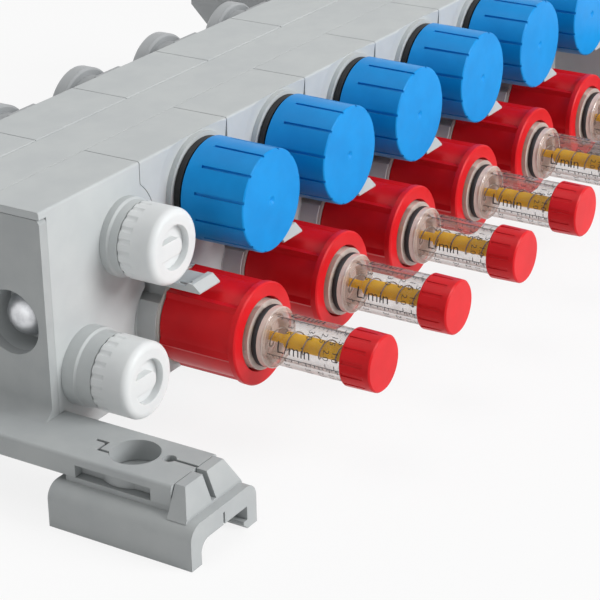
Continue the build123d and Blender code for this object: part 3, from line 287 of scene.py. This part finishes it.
GREY = moulded_plastic("grey_plastic", (0.54, 0.565, 0.565, 1), (0.505, 0.53, 0.535, 1), 0.52)
BRACKET_GREY = moulded_plastic("bracket_plastic", (0.45, 0.47, 0.47, 1), (0.41, 0.43, 0.435, 1), 0.50)
DARK_GREY = moulded_plastic("dark_plastic", (0.46, 0.475, 0.485, 1), (0.41, 0.425, 0.435, 1), 0.5)
BLUE = moulded_plastic("blue_plastic", (0.001, 0.29, 0.74, 1), (0.0, 0.255, 0.67, 1), 0.42,
                       gloss=0.22, grain=0.25 * MM)
RED = moulded_plastic("red_plastic", (0.71, 0.010, 0.016, 1), (0.63, 0.007, 0.012, 1), 0.36,
                      gloss=0.2)
YELLOW = moulded_plastic("yellow_plastic", (1.0, 0.56, 0.001, 1), (0.97, 0.51, 0.0, 1), 0.45,
                         gloss=0.12, mottle=6 * MM)
WHITE = moulded_plastic("white_plastic", (0.76, 0.78, 0.78, 1), (0.72, 0.74, 0.745, 1), 0.40,
                        wax=0.6)
BEIGE = moulded_plastic("pale_plastic", (0.60, 0.58, 0.54, 1), (0.55, 0.53, 0.49, 1), 0.45)
RUBBER = soft_rubber()
CLEAR = clear_tube()
STEEL = worked_metal("bright_steel", (0.62, 0.63, 0.65, 1), (0.42, 0.42, 0.44, 1), 0.26)
NUT_STEEL = worked_metal("nut_steel", (0.68, 0.69, 0.71, 1), (0.52, 0.53, 0.55, 1), 0.42)
WIRE = worked_metal("spring_wire", (0.26, 0.23, 0.20, 1), (0.16, 0.14, 0.12, 1), 0.35)
BRASS = worked_metal("brass", (0.80, 0.58, 0.27, 1), (0.62, 0.43, 0.18, 1), 0.3)
INK = black_ink()

# The finish of each slot, and of the pieces that differ from their slot
FINISHES = {
    "grey_plastic": GREY,
    "dark_plastic": DARK_GREY,
    "blue_plastic": BLUE,
    "red_plastic": RED,
    "yellow_plastic": YELLOW,
    "white_plastic": WHITE,
    "black_rubber": RUBBER,
    "clear_plastic": CLEAR,
    "brass": BRASS,
    "bright_steel": STEEL,
}
OWN_FINISH = {
    "near_bracket": BRACKET_GREY,
    "near_front_foot": BRACKET_GREY,
    "near_rear_foot": BRACKET_GREY,
    "far_front_foot": BRACKET_GREY,
    "far_rear_foot": BRACKET_GREY,
    "meter_bodies": BEIGE,
    "upper_drain_body": GREY,
    "lower_drain_body": GREY,
    "tie_rod_nuts": NUT_STEEL,
}


def dress_nodes():
    """Gives every carried-over node its finish."""
    slots = {part["node"]: part["material_slot"] for part in frame["record"]["subparts"]}
    for name, piece in frame["nodes"].items():
        finish = OWN_FINISH.get(name, FINISHES[slots[name]])
        for place in piece.material_slots:
            place.material = finish


def new_piece(name, points, faces, finish, body):
    """A piece of its own that rides on a body."""
    mesh = bpy.data.meshes.new(name)
    mesh.from_pydata(points, [], faces)
    mesh.validate()
    piece = bpy.data.objects.new(name, mesh)
    bpy.context.scene.collection.objects.link(piece)
    mesh.materials.append(finish)
    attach(piece, body)
    return piece


def middle(node):
    low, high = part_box(node)
    return [(a + b) / 2 for a, b in zip(low, high)]


# The wire springs in the sight tubes

def coil_mesh(x, z, start, end, radius):
    """A round wire wound about Y, closed at both ends. radius goes to the wire's middle."""
    points = []
    faces = []
    count = SPRING_TURNS * SPRING_STEPS
    pitch = (end - start) / SPRING_TURNS
    rise = pitch / (2 * math.pi)
    for step in range(count + 1):
        turn = 2 * math.pi * step / SPRING_STEPS
        outward = Vector((math.cos(turn), 0, math.sin(turn)))
        along = Vector((-math.sin(turn) * radius, rise, math.cos(turn) * radius)).normalized()
        across = outward.cross(along)
        centre = Vector((x, start + pitch * step / SPRING_STEPS, z)) + outward * radius
        for side in range(SPRING_SIDES):
            angle = 2 * math.pi * side / SPRING_SIDES
            spoke = outward * math.cos(angle) + across * math.sin(angle)
            points.append(centre + spoke * SPRING_WIRE / 2)
    for step in range(count):
        for side in range(SPRING_SIDES):
            a = step * SPRING_SIDES + side
            b = step * SPRING_SIDES + (side + 1) % SPRING_SIDES
            faces.append((a, b, b + SPRING_SIDES, a + SPRING_SIDES))
    faces.append(tuple(range(SPRING_SIDES - 1, -1, -1)))
    faces.append(tuple(range(count * SPRING_SIDES, (count + 1) * SPRING_SIDES)))
    return points, faces


def indicator_springs():
    """A spring round each indicator."""
    low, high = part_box("indicator_springs")
    radius = (high[2] - low[2]) / 2 - SPRING_WIRE / 2
    start = low[1] + SPRING_WIRE / 2
    end = high[1] - SPRING_WIRE / 2
    for number in range(1, LOOPS + 1):
        x, _, z = middle(f"flow_indicator_{number}")
        points, faces = coil_mesh(x, z, start, end, radius)
        spring = new_piece(f"indicator_spring_{number}", points, faces, WIRE, "manifold")
        for face in spring.data.polygons:
            face.use_smooth = True
        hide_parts("indicator_springs")
        joint = next(j for j in frame["joints"] if j["name"] == f"flow_reading_{number}")
        travel = joint["range_m"][1]
        1 - travel / (high[1] - low[1])
        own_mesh(spring)


# The printed scales on the sight tubes

def letters(text, size, length, bent):
    """A text's flat faces, centred, and of the given length where there is one.

    They are cut into strips along the side that bends: 0 for the length, 1 for the height.
    """
    curve = bpy.data.curves.new("letters", "FONT")
    curve.body = text
    curve.size = size
    curve.align_x = "CENTER"
    curve.align_y = "CENTER"
    curve.resolution_u = 3
    curve.offset = -LETTER_THINNING * size
    holder = bpy.data.objects.new("letters", curve)
    mesh = bpy.data.meshes.new_from_object(holder)
    sheet = bmesh.new()
    sheet.from_mesh(mesh)
    sides = [vert.co.x for vert in sheet.verts]
    narrow = length / (max(sides) - min(sides)) if length else 1.0
    for vert in sheet.verts:
        vert.co.x *= narrow
    across = Vector((1, 0, 0)) if bent == 0 else Vector((0, 1, 0))
    strips = math.ceil(size / LETTER_STRIP)
    for strip in range(-strips, strips + 1):
        everything = sheet.verts[:] + sheet.edges[:] + sheet.faces[:]
        cut = across * LETTER_STRIP * strip
        bmesh.ops.bisect_plane(sheet, geom=everything, plane_co=cut, plane_no=across)
    sheet.verts.index_update()
    points = [(vert.co.x, vert.co.y) for vert in sheet.verts]
    faces = [tuple(vert.index for vert in face.verts) for face in sheet.faces]
    sheet.free()
    bpy.data.objects.remove(holder)
    bpy.data.curves.remove(curve)
    bpy.data.meshes.remove(mesh)
    return points, faces


class TubePrint:
    """Ink on a tube about Y.

    A place is (distance along the tube towards its cap, distance down its side), and turn is
    where the scale's line runs round the tube.
    """

    def __init__(self, x, base, z):
        self.axis = (x, base, z)
        self.points = []
        self.faces = []

    def wrap(self, along, down, turn):
        angle = turn + down / TUBE_RADIUS
        radius = TUBE_RADIUS + INK_HEIGHT
        x, base, z = self.axis
        return (x - radius * math.sin(angle), base - along, z + radius * math.cos(angle))

    def flat(self, places, faces, turn):
        first = len(self.points)
        self.points += [self.wrap(along, down, turn) for along, down in places]
        self.faces += [tuple(first + corner for corner in face) for face in faces]

    def bar(self, along0, along1, down0, down1, turn):
        corners = [(along0, down0), (along1, down0), (along1, down1), (along0, down1)]
        self.flat(corners, [(0, 3, 2, 1)], turn)

    def tick(self, along, reach, turn):
        self.bar(along - INK_LINE / 2, along + INK_LINE / 2, 0, reach, turn)

    def unit(self, along, down, turn):
        """The unit, read along the tube."""
        points, faces = UNIT_LETTERS
        self.flat([(along + right, down - up) for right, up in points], faces, turn)

    def number(self, words, along, down, turn):
        """A number, read down the tube's side."""
        points, faces = NUMBER_LETTERS[words]
        self.flat([(along + up, down + right) for right, up in points], faces, turn)


# Each number with its share of the scale's length, above (-1) or below (1) the line
SCALE_MARKS = [("3.5", 0.25, 1), ("3.0", 0.54, 1), ("2.5", 0.72, 1), ("2.0", 0.81, -1), ("1.5", 0.86, 1),
               ("1.0", 0.93, -1), (".5", 0.97, 1)]
SCALE_TICKS = (0.08, 0.17, 0.34, 0.44, 0.60, 0.66, 0.765, 0.83, 0.895, 0.95)
UNIT_LETTERS = letters("L/min", UNIT_SIZE, UNIT_LENGTH, 1)
NUMBER_LETTERS = {words: letters(words, NUMBER_SIZE, None, 0) for words, _, _ in SCALE_MARKS}


def tube_scales():
    """The same scale twice on each tube: a line with ticks, numbers and the unit."""
    seal_low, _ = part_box("tube_seals")
    _, cap_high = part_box("tube_end_caps")
    base = seal_low[1] - SCALE_FROM_SEAL
    length = base - cap_high[1] - SCALE_FROM_CAP
    for number in range(1, LOOPS + 1):
        x, _, z = middle(f"flow_indicator_{number}")
        ink = TubePrint(x, base, z)
        for turn in (SCALE_SIDE, SCALE_TOP):
            ink.bar(0, length, -INK_LINE / 2, INK_LINE / 2, turn)
            for words, share, way in SCALE_MARKS:
                ink.tick(share * length, way * TICK_LONG, turn)
                ink.number(words, share * length, -NUMBER_ABOVE if way < 0 else NUMBER_BELOW, turn)
            for share in SCALE_TICKS:
                ink.tick(share * length, TICK_SHORT, turn)
            ink.unit(UNIT_START * length + UNIT_LENGTH / 2, -UNIT_ABOVE, turn)
        new_piece(f"tube_scale_{number}", ink.points, ink.faces, INK, "manifold")


# Camera, floor and lights

CAMERA_FROM_CAP = Vector((-524.305, -343.15, 243.18)) * MM
CAMERA_YAW = 1.005              # in radians, like the two below
CAMERA_PITCH = 0.419
CAMERA_ROLL = -0.017
FOCAL_PIXELS = 2045.44
FRAME_PIXELS = 600
SENSOR = 36.0                   # in millimetres

FLOOR_HALF = 2.0
FLOOR_GLOW = 0.84               # share of plain white in what is seen of the floor
ROOM_LIGHT = 0.25
LAMP_AIM = (0, 0, 0.04)
# Name, place, width in metres and power in watts of each lamp
LAMPS = [("front_lamp", (0.25, -1.45, 0.75), 0.9, 22),
         ("top_lamp", (-0.2, 0.2, 1.5), 1.0, 5),
         ("end_lamp", (-1.5, -0.1, 0.5), 0.9, 1.7),
         ("rear_lamp", (0.3, 1.5, 0.6), 0.9, 6)]


def photo_camera():
    """The photograph's camera, placed from the middle of the first hand cap's face."""
    low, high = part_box("hand_cap_1")
    cap_face = Vector(((low[0] + high[0]) / 2, low[1], (low[2] + high[2]) / 2))
    forward = Vector((math.sin(CAMERA_YAW) * math.cos(CAMERA_PITCH),
                      math.cos(CAMERA_YAW) * math.cos(CAMERA_PITCH),
                      -math.sin(CAMERA_PITCH)))
    level = Vector((math.cos(CAMERA_YAW), -math.sin(CAMERA_YAW), 0))
    upright = level.cross(forward)
    right = math.cos(CAMERA_ROLL) * level + math.sin(CAMERA_ROLL) * upright
    up = -math.sin(CAMERA_ROLL) * level + math.cos(CAMERA_ROLL) * upright
    camera = bpy.data.cameras.new("camera")
    camera.sensor_width = SENSOR
    camera.lens = FOCAL_PIXELS / FRAME_PIXELS * SENSOR
    camera.clip_start = 10 * MM
    holder = bpy.data.objects.new("camera", camera)
    turn = Matrix((right, up, -forward)).transposed().to_4x4()
    holder.matrix_world = Matrix.Translation(cap_face + CAMERA_FROM_CAP) @ turn
    bpy.context.scene.collection.objects.link(holder)
    bpy.context.scene.camera = holder


def soft_light(name, place, size, power):
    """A round lamp that points at the manifold."""
    lamp = bpy.data.lights.new(name, "AREA")
    lamp.shape = "DISK"
    lamp.size = size
    lamp.energy = power
    holder = bpy.data.objects.new(name, lamp)
    holder.location = place
    holder.rotation_euler = (Vector(LAMP_AIM) - Vector(place)).to_track_quat("-Z", "Y").to_euler()
    bpy.context.scene.collection.objects.link(holder)


def floor():
    """A pale floor that is almost white where it is seen and keeps the shadow."""
    corners = [(-FLOOR_HALF, -FLOOR_HALF, 0), (FLOOR_HALF, -FLOOR_HALF, 0),
               (FLOOR_HALF, FLOOR_HALF, 0), (-FLOOR_HALF, FLOOR_HALF, 0)]
    mesh = bpy.data.meshes.new("floor")
    mesh.from_pydata(corners, [], [(0, 1, 2, 3)])
    ground = bpy.data.objects.new("floor", mesh)
    bpy.context.scene.collection.objects.link(ground)
    finish = Finish("floor_white", Roughness=0.9, Base_Color=(0.86, 0.86, 0.86, 1),
                    Specular_IOR_Level=0.1)
    glow = finish.node("ShaderNodeEmission", None, {"Color": (1, 1, 1, 1), "Strength": 1.0})
    lit = Field(finish, finish.shader.outputs[0])
    sockets = {0: finish.seen() * FLOOR_GLOW, 1: lit, 2: glow}
    finish.feed(finish.output.inputs["Surface"], finish.node("ShaderNodeMixShader", None, sockets))
    mesh.materials.append(finish.material)


def room():
    """Soft even light from all round, and a white room where it is seen."""
    world = bpy.data.worlds.new("studio")
    world.use_nodes = True
    nodes = Nodes(world.node_tree, "ShaderNodeOutputWorld")
    white = (1, 1, 1, 1)
    dim = nodes.node("ShaderNodeBackground", None, {"Color": white, "Strength": ROOM_LIGHT})
    bright = nodes.node("ShaderNodeBackground", None, {"Color": white, "Strength": 1.0})
    mixed = nodes.node("ShaderNodeMixShader", None, {0: nodes.seen(), 1: dim, 2: bright})
    nodes.feed(nodes.output.inputs["Surface"], mixed)
    bpy.context.scene.world = world


def studio():
    floor()
    room()
    for lamp in LAMPS:
        soft_light(*lamp)
    bpy.context.scene.view_settings.view_transform = "Standard"


dress_nodes()
indicator_springs()
tube_scales()
photo_camera()
studio()
